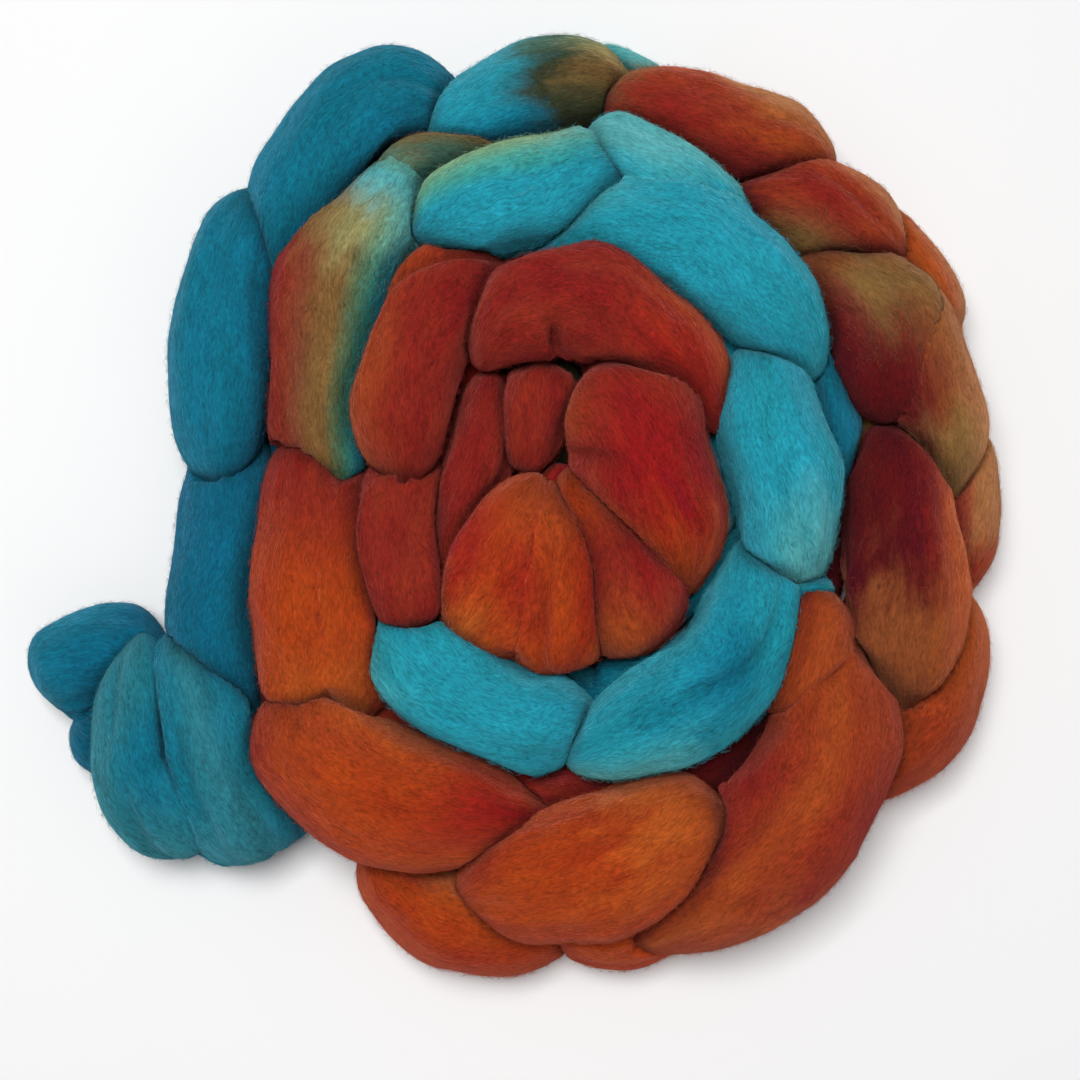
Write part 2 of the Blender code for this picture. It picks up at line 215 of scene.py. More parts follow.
# ---------------------------------------------------------------- folds in single strands
# A fold is a shallow trough over one strand, between two places on its skin. Each place is how far along
# the strand it is, from 0 to 1, and how far round it in degrees: 0 is its left, 90 its top, 180 its right.
# `depth` and `width` are in millimetres.
Fold = namedtuple("Fold", "start end depth width")

FOLDS = {
    "tail_flap_left": [
        Fold((0.28, 62), (0.58, 58), 5.5, 4.6),
        Fold((0.70, 50), (1.00, 62), 5.0, 3.4),
        Fold((0.60, 120), (1.00, 140), 2.4, 3.0),
        Fold((0.10, 110), (0.45, 135), 1.8, 2.2),
        Fold((0.48, 30), (0.56, 110), 1.8, 2.0),
    ],
    "tail_flap_right": [
        Fold((0.35, 110), (0.75, 125), 2.0, 2.2),
        Fold((0.60, 40), (0.85, 60), 2.2, 2.2),
        Fold((0.15, 130), (0.60, 140), 2.8, 3.4),
        Fold((0.10, 60), (0.50, 85), 2.0, 2.6),
        Fold((0.50, 70), (1.00, 95), 2.6, 3.0),
    ],
    "tail_tongue": [
        Fold((0.25, 45), (0.95, 50), 3.6, 2.0),
        Fold((0.35, 60), (0.95, 75), 1.6, 2.4),
    ],
    "left": [Fold((0.35, 130), (0.80, 105), 1.4, 2.0)],
    "top_left": [
        Fold((0.20, 80), (0.60, 120), 1.4, 2.2),
        Fold((0.60, 60), (0.92, 90), 1.2, 2.0),
    ],
    "top": [Fold((0.15, 110), (0.55, 80), 1.2, 2.0)],
    "top_right": [Fold((0.60, 70), (0.98, 60), 1.6, 2.2)],
    "right_high": [Fold((0.45, 60), (0.95, 90), 1.6, 2.0)],
    "right_in": [Fold((0.20, 60), (0.80, 75), 1.4, 2.2)],
    "right_low": [Fold((0.25, 130), (0.70, 100), 1.6, 2.6)],
    "low_right": [
        Fold((0.05, 75), (0.30, 125), 2.2, 2.2),
        Fold((0.55, 120), (0.95, 90), 1.2, 2.2),
    ],
    "low": [Fold((0.45, 60), (0.85, 85), 1.2, 2.0)],
    "low_left": [Fold((0.02, 60), (0.30, 95), 1.8, 2.2)],
    "low_left_edge": [Fold((0.35, 60), (0.85, 90), 1.4, 2.2)],
    "mid_left_low_in": [Fold((0.10, 120), (0.40, 60), 1.4, 2.2)],
    "mid_left": [Fold((0.55, 70), (0.90, 120), 1.4, 2.4)],
    "mid_top": [Fold((0.10, 60), (0.55, 75), 1.2, 2.0)],
    "mid_top_right": [Fold((0.15, 100), (0.50, 80), 1.2, 2.0)],
    "mid_right": [Fold((0.30, 110), (0.75, 90), 1.0, 2.0)],
    "mid_low_right": [Fold((0.20, 60), (0.66, 100), 3.6, 1.8)],
    "mid_low": [Fold((0.35, 60), (0.80, 80), 1.0, 2.0)],
    "in_left": [Fold((0.50, 30), (0.92, 100), 4.0, 2.2)],
    "in_top": [
        Fold((0.24, 178), (0.34, 118), 5.0, 3.2),
        Fold((0.45, 120), (0.70, 100), 1.0, 2.2),
    ],
    "in_right": [Fold((0.40, 178), (0.52, 112), 3.6, 2.4)],
    "fan_left": [Fold((0.35, 95), (1.00, 80), 1.6, 2.0)],
    "fan_mid": [Fold((0.30, 100), (1.00, 125), 3.0, 2.0)],
    "fan_right": [Fold((0.30, 100), (0.90, 85), 1.6, 2.0)],
}

# ---------------------------------------------------------------- how the strands lie and press together
FIRMNESS = 2.2  # how long a strand keeps its full girth before it narrows: 2 is a parabola
ROUND_END = 0.50  # share of a strand's half length after which its end is rounded off
LEAST_GIRTH = 0.02  # girth left at the very tip, as a share of the middle's
TIP_REACH = 0.25  # how far a strand reaches past the end of its centreline, as a share of its width

UNDER_SINK = 2.0  # how far the underside strands would reach through the table if it didn't press them flat
UNDER_BITE = 8.0  # how far they reach up into the strands above them
UNDER_WIDTH = 27.0
UNDER_INSETS = (-1.0, 17.0)  # how far the outer and the inner row sit inward of the strands above
UNDER_OVERRUN = 0.15  # how far each strand runs on past the two places it joins, as a share of its length
UNDER_SLANT = 5.0  # sideways step at each end, across the braid
UNDER_DIP = 3.0  # how far the ends rise towards the strands above
UNDER_TAPER = 0.6  # girth of the ends as a share of the middle's

FOOT = 0.2  # height of the pressed underside over the table
TINY = 1e-6  # keeps a division from being by nothing
SEEK_STATIONS = 33  # places along a strand between which the nearest one to a point is sought
SEEK_SHARES = np.linspace(0.15, 1.3, 9)  # shares of the full girth at which two strands are compared
NEAR = 1.4  # a strand this many girths away from a point no longer presses on it
TOUCH = 1.01  # how far a strand reaches towards the face where it meets another: 1 is just touching it
FELTED_TOUCH = 1.08  # and how far a felted one does, so that no gap shows between the two
FELTED_WIDTH = 0.6  # how wide the valley between two felted strands is filled, as a share of their girth
FELTED_BLEED = 0.5  # how far the dyes of felted strands bleed into one another, as a share of their girth
CREASE_SHADE_REACH = 0.5  # how far the painted shade of a crease reaches over the strands beside it, as a share of their girth
CREASE_SPREAD = 0.4  # how much one crease differs from another in width, as a share of its width
FULL_SHADE_FOLD_DEPTH = 5.0  # depth in millimetres of a fold whose painted shade is as dark as a crease's
FOLD_ENDS = 0.35  # depth of a fold at its two ends, as a share of its middle's
TABLE_SOFTNESS = 0.35  # how wide a strand is rounded off where it meets the table, as a share of its girth
LEAST_KEPT = 0.02  # the least share of its full girth that a pressed strand keeps

FEWEST_FACES = 12  # along a strand and round it
EVEN_SHARE = 0.45  # how evenly the skin's rings are spaced: 0 crowds them at the ends, as a cosine does
SLANT = 0.7  # how far the fibres can turn round a strand from its start to its end, in radians

# Sways of the settled coil: how far one is from the next, how far it moves the wool sideways, both in
# millimetres, and its heading in radians.
SWAYS = ((57.0, 1.0, 0.4), (41.0, 0.7, 1.9), (29.0, 0.4, 3.1))

# Locks are ridges along a strand: how many there are round it, and their depth in millimetres.
LOCKS = ((2, 0.35), (3, 0.30), (5, 0.24), (8, 0.18), (13, 0.12))
# Lumps are soft swellings: their spacing along the strand, how many there are round it, and their depth.
LUMPS = ((44.0, 1, 0.5), (27.0, 2, 0.3), (13.0, 3, 0.15))
LOCK_WANDER = 0.9  # how far a lock wanders round its strand, in radians
LOCK_WAVES = (0.5, 1.4)  # and the least and most times it does so along the strand
LOCK_SWELL, LOCK_SWELLS = 0.6, 4.0  # how much its depth differs, as a share, in a wave of this many radians
LUMP_WANDER = 0.8  # how far a lump's place differs round its strand, as a phase in radians
SMOOTH_FROM, SMOOTH_TO = 0.95, 0.70  # shares of the full girth between which pressing smooths out all relief

# ---------------------------------------------------------------- a strand's line and girth


def girth(row, along):
    """A strand's girth at `along`, from 0 to 1, as a share of its girth at the middle."""
    from_middle = np.abs(2 * along - 1)
    taper = np.where(along < 0.5, row.taper_in, row.taper_out)
    share = 1 - (1 - taper) * from_middle**FIRMNESS
    past = np.clip((from_middle - ROUND_END) / (1 - ROUND_END), 0, 1)
    return np.maximum(share * np.sqrt(1 - past**2), LEAST_GIRTH)


def line(row, along):
    """Where a strand's centreline is at `along`, how fast it moves there, and its level left and its up."""
    height = row.crest - row.thick / 2
    start = np.array((*row.start, height - row.sink_in))
    middle = np.array((*row.middle, height))
    end = np.array((*row.end, height - row.sink_out))
    pull = 2 * middle - (start + end) / 2
    t = along[:, None]
    centre = (1 - t) ** 2 * start + 2 * t * (1 - t) * pull + t**2 * end
    speed = 2 * (1 - t) * (pull - start) + 2 * t * (end - pull)
    heading = speed / np.linalg.norm(speed, axis=1, keepdims=True)
    left = np.stack((-heading[:, 1], heading[:, 0], np.zeros(len(heading))), axis=1)
    left /= np.linalg.norm(left, axis=1, keepdims=True)
    return centre, speed, left, np.cross(heading, left)


def place_in(row, points):
    """Where points lie in a strand: how deep, which is 0 on its centreline and 1 on its skin, how far along
    it from 0 to 1, and how far round it from its left flank."""
    stations = np.linspace(0, 1, SEEK_STATIONS)
    centres, speeds, _, _ = line(row, stations)
    apart = (points**2).sum(1)[:, None] - 2 * points @ centres.T + (centres**2).sum(1)
    nearest = apart.argmin(axis=1)
    step = ((points - centres[nearest]) * speeds[nearest]).sum(1) / (speeds[nearest] ** 2).sum(1)
    along = np.clip(stations[nearest] + step, 0, 1)
    centre, speed, left, up = line(row, along)
    offset = points - centre
    share = girth(row, along)
    across = (offset * left).sum(1) / (row.width / 2 * share)
    above = (offset * up).sum(1) / (row.thick / 2 * share)
    beyond = (offset * speed).sum(1) / np.linalg.norm(speed, axis=1) / (row.width * TIP_REACH)
    return np.sqrt(across**2 + above**2 + beyond**2), along, np.arctan2(above, across)


# ---------------------------------------------------------------- the strands underneath


def underside_row(places, inset, name):
    """Strands of the braid's underside, from each of `places` to the next, a step further inward."""
    row = []
    for number, ((a, low_a), (b, low_b)) in enumerate(zip(places, places[1:])):
        along = (b - a).normalized()
        inward = Vector((along.y, -along.x))
        slant = inward * UNDER_SLANT
        overrun = (b - a) * UNDER_OVERRUN
        head = overrun * bool(number)  # the first strand of a row has nothing to run back under
        top = min(low_a, low_b) + UNDER_BITE
        start = tuple(a - head + inward * inset - slant)
        middle = tuple((a + b) / 2 + inward * inset)
        end = tuple(b + overrun + inward * inset + slant)
        form = (UNDER_WIDTH, top + UNDER_SINK, top, -UNDER_DIP, -UNDER_DIP, UNDER_TAPER, UNDER_TAPER)
        row.append(Strand(f"{name}_{number}", start, middle, end, *form))
    return row


def underside():
    """The two rows under the braid: one below the middles of its strands, one below their crossings."""
    shown = {row.name: row for row in TAIL + OUTER_BACK + OUTER_FRONT + MIDDLE_TURN + INNER_TURN}
    braid = [shown[name] for name in BRAID]
    middles = [(Vector(row.middle), row.crest - row.thick) for row in braid]
    crossings = [
        ((Vector(a.end) + Vector(b.start)) / 2, min(a.crest - a.thick, b.crest - b.thick))
        for a, b in zip(braid, braid[1:])
    ]
    outer = underside_row(middles, UNDER_INSETS[0], "under_outer")
    inner = underside_row(crossings, UNDER_INSETS[1], "under_inner")
    return outer, inner


def dye_of_each():
    """Every strand's dyes by its name. An underside strand is dyed like the crown of the strand above it."""
    chart = dict(DYE_CHART)
    for first, rows in enumerate(underside()):
        for number, row in enumerate(rows, first):
            crown = chart[BRAID[number]].crown
            chart[row.name] = Dyed(crown, crown, crown)
    return chart


# ---------------------------------------------------------------- the skin of a strand


def softened_least(a, b, softness):
    """The lesser of a and b, rounded off where they come within `softness` of each other."""
    overlap = np.clip(softness - np.abs(a - b), 0, None) / softness
    return np.minimum(a, b) - overlap**2 * softness / 4


def meeting_shares(other, centres, reach):
    """At which share of its full girth each point of a strand's skin meets another strand, and at which the
    valley between two felted strands would be filled there."""
    steps = []
    for seek in SEEK_SHARES:
        lead = place_in(other, centres + reach * seek)[0] - seek
        valley = np.clip(FELTED_WIDTH - np.abs(lead), 0, None) ** 2 / (4 * FELTED_WIDTH)
        steps.append((seek, lead, seek - valley))
    meets = np.where(steps[0][1] < 0, SEEK_SHARES[0], 2 * SEEK_SHARES[-1])
    filled = np.ones(len(reach))
    for (near, near_lead, near_level), (far, far_lead, far_level) in zip(steps, steps[1:]):
        crossed = (far_lead < 0) & (near_lead >= 0) & (meets > SEEK_SHARES[-1])
        part = near_lead / np.where(crossed, near_lead - far_lead, 1)
        meets = np.where(crossed, near + part * (far - near), meets)
        crossed = (far_level >= 1) & (near_level < 1)
        part = (1 - near_level) / np.maximum(far_level - near_level, TINY)
        filled = np.where(crossed, near + part * (far - near), filled)
    return meets, filled


def pressed_share(row, centres, reach, others, softness):
    """How the strands beside it press a strand: the share of its full girth that each point of its skin
    keeps, and how far each point then lies from the nearest of them, as a share of that one's girth."""
    share = np.ones(len(reach))
    apart = np.full(len(reach), NEAR - 1)
    skin = centres + reach
    low, high = skin.min(0), skin.max(0)
    for other in others:
        route = line(other, np.linspace(0, 1, 5))[0]
        margin = max(other.width, other.thick) * NEAR / 2
        if np.any(route.min(0) - margin > high) or np.any(route.max(0) + margin < low):
            continue
        depth = place_in(other, skin)[0]
        felted = {row.name, other.name} in FELTED
        if not felted:
            apart = np.minimum(apart, np.maximum(depth - 1, 0))
        close = np.flatnonzero(depth < NEAR)
        if not len(close):
            continue
        meets, filled = meeting_shares(other, centres[close], reach[close])
        if felted:
            raised = np.where(share[close] < 1, share[close], np.maximum(share[close], filled))
            share[close] = np.minimum(raised, meets * FELTED_TOUCH)
        else:
            width = softness * (1 + CREASE_SPREAD * math.sin(sum(row.middle) + sum(other.middle)))
            share[close] = softened_least(share[close], meets * TOUCH, width)
    return share, apart


def table_share(centres, reach):
    """The share of its full girth that a strand's skin keeps where the table presses on it."""
    room = np.maximum(centres[:, 2] - FOOT, 0) / -np.minimum(reach[:, 2], -TINY)
    return np.where(reach[:, 2] < -TINY, room, SEEK_SHARES[-1] + TABLE_SOFTNESS)


def fold_depth(row, along, around, length):
    """How deep the folds of one strand are at each point of its skin."""
    total = np.zeros_like(along)
    round_to_mm = math.radians(1) * (row.width + row.thick) / 4
    for fold in FOLDS.get(row.name, ()):
        (along_a, around_a), (along_b, around_b) = fold.start, fold.end
        a = np.array((along_a * length, around_a * round_to_mm))
        run = np.array((along_b * length, around_b * round_to_mm)) - a
        place = np.stack((along * length, np.degrees(around) * round_to_mm), axis=1) - a
        part = np.clip(place @ run / (run @ run), 0, 1)
        apart = np.linalg.norm(place - part[:, None] * run, axis=1)
        swell = FOLD_ENDS + (1 - FOLD_ENDS) * np.sin(math.pi * part)
        total += fold.depth * np.exp(-((apart / fold.width) ** 2)) * swell
    return total


def relief(along, around, length, rng):
    """Locks and lumps in a strand's skin, in millimetres off its even form."""
    height = np.zeros_like(along)
    for count, depth in LOCKS:
        phase, drift, sway = rng.uniform(0, 2 * math.pi, 3)
        wander = LOCK_WANDER * np.sin(2 * math.pi * along * rng.uniform(*LOCK_WAVES) + sway)
        swell = 1 + LOCK_SWELL * np.sin(LOCK_SWELLS * along + drift)
        height += depth * np.sin(count * around + phase + wander) * swell
    for wave, count, depth in LUMPS:
        phase, drift = rng.uniform(0, 2 * math.pi, 2)
        wander = LUMP_WANDER * np.sin(around + drift)
        lengthways = np.sin(2 * math.pi * along * length / wave + phase + wander)
        height += depth * lengthways * np.sin(count * around + drift)
    return height


def wind(row, others, grain, softness, lock_depth, seed):
    """The skin of one strand as a grid of points, from its start to its end and round from its left flank."""
    rng = np.random.default_rng(seed)
    length = np.linalg.norm(np.diff(line(row, np.linspace(0, 1, 9))[0], axis=0), axis=1).sum()
    rings = max(FEWEST_FACES, round(length / grain))
    sides = max(FEWEST_FACES, round(math.pi * (row.width + row.thick) / 2 / grain))
    even = np.linspace(0, 1, rings)
    closer_at_ends = 0.5 - 0.5 * np.cos(math.pi * even)
    along = np.repeat(EVEN_SHARE * even + (1 - EVEN_SHARE) * closer_at_ends, sides)
    around = np.tile(np.arange(sides) * 2 * math.pi / sides, rings)
    centres, _, left, up = line(row, along)
    share = girth(row, along)[:, None]
    sideways = np.cos(around)[:, None] * left * row.width / 2
    reach = share * (sideways + np.sin(around)[:, None] * up * row.thick / 2)
    kept, apart = pressed_share(row, centres, reach, others, softness)
    kept = softened_least(kept, table_share(centres, reach), TABLE_SOFTNESS)
    free = np.clip((kept - SMOOTH_TO) / (SMOOTH_FROM - SMOOTH_TO), 0, 1)[:, None]
    outward = reach / np.linalg.norm(reach, axis=1, keepdims=True)
    folds = fold_depth(row, along, around, length)
    ridges = lock_depth * relief(along, around, length, rng)[:, None] * share - folds[:, None]
    points = centres + reach * np.clip(kept, LEAST_KEPT, None)[:, None] + outward * ridges * free
    points[:, 2] = np.maximum(points[:, 2], FOOT)
    felted = []
    for other in others:
        if {row.name, other.name} in FELTED:
            depth, there, turned = place_in(other, points)
            felted.append((other, there, turned, np.clip(1 - (depth - 1) / FELTED_BLEED, 0, 1) / 2))
    # Painted shade: the crease value is highest where another strand presses on this one and in deep folds,
    # and it darkens the wool's colour there.
    shade_beside_crease = np.clip(1 - apart / CREASE_SHADE_REACH, 0, 1) ** 2
    crease = np.maximum(shade_beside_crease, np.clip(folds / FULL_SHADE_FOLD_DEPTH, 0, 1))
    skin = dict(row=row, rings=rings, sides=sides, along=along, around=around, length=length, points=points)
    return skin | dict(ends=centres[[0, -1]], outward=outward, kept=kept, crease=crease, felted=felted)


def settled(points):
    """Points of the coil after it has settled: it sways a little sideways, all strands together."""
    moved = points.copy()
    for wave, depth, turn in SWAYS:
        heading = np.array((math.cos(turn), math.sin(turn)))
        across = np.array((-heading[1], heading[0]))
        moved[:, :2] += depth * np.sin(2 * math.pi / wave * points[:, :2] @ heading + turn)[:, None] * across
    return moved


# ---------------------------------------------------------------- the dye on a strand


def linear(hex_colour):
    """An sRGB colour such as "#10788F", as the linear numbers that Blender's shaders take."""
    values = [int(hex_colour[i : i + 2], 16) / 255 for i in (1, 3, 5)]
    return [v / 12.92 if v <= 0.04045 else ((v + 0.055) / 1.055) ** 2.4 for v in values]


# Where along a strand, from 0 to 1, its first dye gives way to the second, and that to the third, and how
# steeply they do, over the strand's length.
USUAL_CHANGES = (0.30, 0.70, 2.4)
OWN_CHANGES = {
    "top": (0.48, 0.72, 3.0),
    "top_right": (0.14, 0.62, 2.4),
    "right_in": (0.24, 0.60, 2.4),
    "right_low": (0.30, 0.56, 2.4),
    "low": (0.60, 0.86, 2.4),
    "mid_left": (0.55, 0.72, 5.0),
}
MIX_FROM, MIX_TO = 0.1, 0.9  # ramps between which a dye mixes with the one before it
# The cosine round a strand at which its crown's dye starts to give way to a flank's, and over how much.
FLANK_FROM, FLANK_OVER = 0.1, 0.7


def thirds(words):
    """The dyes at a strand's start, middle and end."""
    names = words.split()
    return names if len(names) == 3 else names * 3


def flank_weights(around):
    """How much each point belongs to its strand's left flank, crown and right flank."""
    side = np.cos(around)
    left, right = np.clip((np.array((side, -side)) - FLANK_FROM) / FLANK_OVER, 0, 1)
    return np.stack((left, 1 - left - right, right), axis=1)


def dyes_round(row, around, chart):
    """The logarithms of a strand's dyes at its start, its middle and its end, at places round it. Where two
    dyes meet they darken one another, as in one dye bath, so it is their logarithms that are mixed."""
    flanks = [thirds(words) for words in chart[row.name]]
    dyes = bpy.context.scene.wool_dyes
    weights = flank_weights(around)
    colours = [[tuple(getattr(dyes, flank[third])) for flank in flanks] for third in range(3)]
    return [weights @ np.log(colours_round) for colours_round in colours]


def dye_ramps(row, along):
    """How far the second and the third dye have taken over at places along a strand, half of it at 0.5."""
    first, second, steepness = OWN_CHANGES.get(row.name, USUAL_CHANGES)
    return 0.5 + (along[:, None] - (first, second, 1)) * steepness


def dye_colours(skin, chart):
    """The linear colours of a skin's points as its start, its middle and its end are dyed, with the dyes of
    the strands it is felted to bleeding in."""
    own = dyes_round(skin["row"], skin["around"], chart)
    for other, along, around, share in skin["felted"]:
        start, middle, end = dyes_round(other, around, chart)
        taken = np.clip((dye_ramps(other, along) - MIX_FROM) / (MIX_TO - MIX_FROM), 0, 1)
        theirs = start + (middle - start) * taken[:, :1]
        theirs += (end - theirs) * taken[:, 1:2]
        own = [dye + (theirs - dye) * share[:, None] for dye in own]
    return [np.exp(dye) for dye in own]


# ---------------------------------------------------------------- meshes


def new_piece(name, points, faces, materials):
    """A smooth-shaded mesh object from points in millimetres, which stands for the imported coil."""
    mesh = bpy.data.meshes.new(name)
    mesh.from_pydata((points * MM).tolist(), [], faces)
    for material in materials:
        mesh.materials.append(material)
    mesh.polygons.foreach_set("use_smooth", [True] * len(mesh.polygons))
    piece = bpy.data.objects.new(name, mesh)
    bpy.context.scene.collection.objects.link(piece)
    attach(piece, "root")
    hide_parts(COIL)
    return piece


MAP_MARGIN = 0.03  # free edge round each strand on its piece's map, as a share of the strand's square
PATTERN_SHIFT = (61.0, 37.0, 23.0)  # millimetres between one strand's pattern and the next one's


def skin_faces(rings, sides, first):
    """The faces of one strand: a tube of quads closed by a fan at each end."""
    faces = []
    start_tip, end_tip = first + rings * sides, first + rings * sides + 1
    last = first + (rings - 1) * sides
    for side in range(sides):
        beside = (side + 1) % sides
        faces.append((start_tip, first + beside, first + side))
        for ring in range(rings - 1):
            here, there = first + ring * sides, first + (ring + 1) * sides
            faces.append((here + side, here + beside, there + beside, there + side))
        faces.append((end_tip, last + side, last + beside))
    return faces


def strand_map(rings, sides, column, row, columns):
    """Where each face corner of one strand lies on the piece's map, in a square of its own."""
    corners = []

    def at(ring, side):
        u = MAP_MARGIN + (1 - 2 * MAP_MARGIN) * ring / (rings - 1)
        v = MAP_MARGIN + (1 - 2 * MAP_MARGIN) * side / sides
        return ((column + u) / columns, (row + v) / columns)

    for side in range(sides):
        corners += [at(-1, side + 0.5), at(0, side + 1), at(0, side)]
        for ring in range(rings - 1):
            corners += [at(ring, side), at(ring, side + 1), at(ring + 1, side + 1), at(ring + 1, side)]
        corners += [at(rings, side + 0.5), at(rings - 1, side), at(rings - 1, side + 1)]
    return corners


def add_attribute(mesh, name, kind, field, values):
    """Stores a value for each point of a mesh, for its material to read."""
    mesh.attributes.new(name, kind, "POINT").data.foreach_set(field, np.asarray(values, np.float32).ravel())


def strands_piece(name, skins, chart):
    """One turn's strands in one mesh, with the dyes and the lie of the fibres at every point."""
    points, faces, corners = [], [], []
    dyes, ramps, lies, crease_shades = ([], [], []), [], [], []
    columns = math.ceil(math.sqrt(len(skins)))
    tips = [0, -1]
    first = 0
    for number, skin in enumerate(skins):
        rings, sides, row = skin["rings"], skin["sides"], skin["row"]
        faces += skin_faces(rings, sides, first)
        corners += strand_map(rings, sides, number % columns, number // columns, columns)
        points += [skin["points"], skin["ends"]]
        for third, colours in zip(dyes, dye_colours(skin, chart)):
            third += [colours, colours[tips]]
        along = skin["along"]
        ramp = dye_ramps(row, along)
        ramps += [ramp, ramp[tips]]
        turned = skin["around"] + skin["slant"] * (along - 0.5)
        radius = (row.width + row.thick) / 4
        lie = np.stack((along * skin["length"], np.cos(turned) * radius, np.sin(turned) * radius), axis=1)
        lie += skin["number"] * np.array(PATTERN_SHIFT)
        lies += [lie, lie[tips]]
        crease_shades += [skin["crease"], skin["crease"][tips]]
        first += rings * sides + 2
    piece = new_piece(name, np.concatenate(points), faces, [combed_top()])
    mesh = piece.data
    for third, word in zip(dyes, ("start", "middle", "end")):
        colours = np.concatenate(third)
        opaque = np.concatenate((colours, np.ones((len(colours), 1))), axis=1)
        add_attribute(mesh, "dye_" + word, "FLOAT_COLOR", "color", opaque)
    add_attribute(mesh, "ramps", "FLOAT_VECTOR", "vector", np.concatenate(ramps))
    add_attribute(mesh, "lie", "FLOAT_VECTOR", "vector", np.concatenate(lies))
    # the crease attribute holds painted shade: darker beside where strands meet and in deep folds
    add_attribute(mesh, "crease", "FLOAT", "value", np.concatenate(crease_shades))
    mesh.uv_layers.new(name=BAKE_MAP).data.foreach_set("uv", np.array(corners, np.float32).ravel())
    return piece


# ---------------------------------------------------------------- loose fibres

# Kinds of loose fibre: how many on a square centimetre, how long, how high above the skin at the root, the
# middle and the tip, how far they stray from the strand's own direction, how thick they are, and how many
# points they bend over. Lengths are in millimetres. Real wool fibre is about 0.03 mm thick; these are
# coarser, so that they show.
Fibre = namedtuple("Fibre", "name per_cm2 length root middle tip stray thickness bends")
FIBRES = [
    Fibre("nap", 26.0, 2.8, -0.12, 0.42, 0.60, 1.3, 0.075, 3),
    Fibre("laid", 2.0, 7.0, -0.10, 0.28, -0.10, 0.5, 0.08, 4),
    Fibre("raised", 25.0, 3.2, -0.20, 0.55, 1.20, 1.3, 0.06, 3),
]
LENGTH_SPREAD = (0.5, 1.5)  # the shortest and the longest, as shares of their kind's length
LIFT_SPREAD = (0.4, 1.5)  # the lowest and the highest, as shares of their kind's height
CURL = 0.7  # how far a fibre bends at each step, as a share of how far it strays
OPEN_SHARE = 0.85  # a fibre roots only where the skin keeps this share of its full girth, so not in a crease
FIBRE_SHARE = 0.7  # and reaches only where it keeps this share
LEAST_STEP = 0.3  # nor does a fibre root where the skin's grid is finer than this, in millimetres
LOWEST_FIBRE = 2.5  # nor where the skin is lower than this over the table
DYE_STRAY = 0.15  # how far from its own dye's stretch of the strand a fibre can lie


def grid_at(values, skin, ring, side):
    """Values of a skin at fractional places on its grid."""
    rings, sides = skin["rings"], skin["sides"]
    ring = np.clip(ring, 0, rings - 1.001)
    low_ring, low_side = np.floor(ring).astype(int), np.floor(side).astype(int)
    part_ring, part_side = (ring - low_ring)[..., None], (side - low_side)[..., None]
    grid = values.reshape(rings, sides, -1)
    a, b = low_side % sides, (low_side + 1) % sides
    near = grid[low_ring, a] * (1 - part_side) + grid[low_ring, b] * part_side
    far = grid[low_ring + 1, a] * (1 - part_side) + grid[low_ring + 1, b] * part_side
    return near * (1 - part_ring) + far * part_ring


def fibre_paths(skin, kind, density, rng):
    """Paths of one kind of fibre over one strand, the outward direction along them, and where they root."""
    rings, sides = skin["rings"], skin["sides"]
    grid = skin["points"].reshape(rings, sides, 3)
    ahead = np.diff(grid, axis=0)
    beside = (np.roll(grid, -1, axis=1) - grid)[:-1]
    area = np.linalg.norm(np.cross(ahead, beside), axis=2)
    shows = (skin["kept"].reshape(rings, sides)[:-1] > OPEN_SHARE) & (grid[:-1, :, 2] > LOWEST_FIBRE)
    weight = np.cumsum((area * shows).ravel())
    count = int(kind.per_cm2 * density * weight[-1] / 100)  # from square millimetres
    if not count:
        return None
    cell = np.searchsorted(weight, rng.uniform(0, weight[-1], count))
    ring = cell // sides + rng.uniform(0, 1, count)
    side = cell % sides + rng.uniform(0, 1, count)
    step = kind.length * rng.uniform(*LENGTH_SPREAD, count) / (kind.bends - 1)
    step *= rng.choice((-1.0, 1.0), count)
    angle = rng.normal(0, kind.stray, count)
    bend = rng.normal(0, CURL * kind.stray, count)
    ring_step = np.linalg.norm(ahead, axis=2).ravel()[cell]
    side_step = np.linalg.norm(beside, axis=2).ravel()[cell]
    kept = (ring_step > LEAST_STEP) & (side_step > LEAST_STEP)
    ring_step, side_step = np.maximum(ring_step, LEAST_STEP), np.maximum(side_step, LEAST_STEP)
    heights = np.interp(np.linspace(0, 2, kind.bends), (0, 1, 2), (kind.root, kind.middle, kind.tip))
    lift = rng.uniform(*LIFT_SPREAD, count)[:, None]
    path, outwards = [], []
    for number, height in enumerate(heights):
        if number:
            turned = angle + bend * (number - kind.bends / 2)
            ring = ring + step * np.cos(turned) / ring_step
            side = side + step * np.sin(turned) / side_step
        kept &= (ring >= 0) & (ring <= rings - 1)
        outward = grid_at(skin["outward"], skin, ring, side)
        outward /= np.linalg.norm(outward, axis=1, keepdims=True)
        kept &= grid_at(skin["kept"][:, None], skin, ring, side)[:, 0] > FIBRE_SHARE
        raised = outward * height * (lift if height > 0 else 1)
        path.append(grid_at(skin["points"], skin, ring, side) + raised)
        outwards.append(outward)
    path, outwards = np.stack(path, axis=1)[kept], np.stack(outwards, axis=1)[kept]
    if not len(path):
        return None
    path[..., 2] = np.maximum(path[..., 2], FOOT)
    return path, outwards, skin["along"][cell][kept], skin["around"][cell][kept]


def pick_dyes(skin, along, around, chart, names, rng):
    """Picks one dye for each fibre from those where it is rooted."""
    flanks = [thirds(words) for words in chart[skin["row"].name]]
    ramps = dye_ramps(skin["row"], along) + rng.normal(0, DYE_STRAY, (len(along), 1))
    third = (ramps[:, :2] > 0.5).sum(1)
    flank = (flank_weights(around).cumsum(1) < rng.uniform(0, 1, (len(around), 1))).sum(1).clip(0, 2)
    numbers = np.array([[names.index(dye) for dye in dyes] for dyes in flanks])
    return numbers[flank, third]


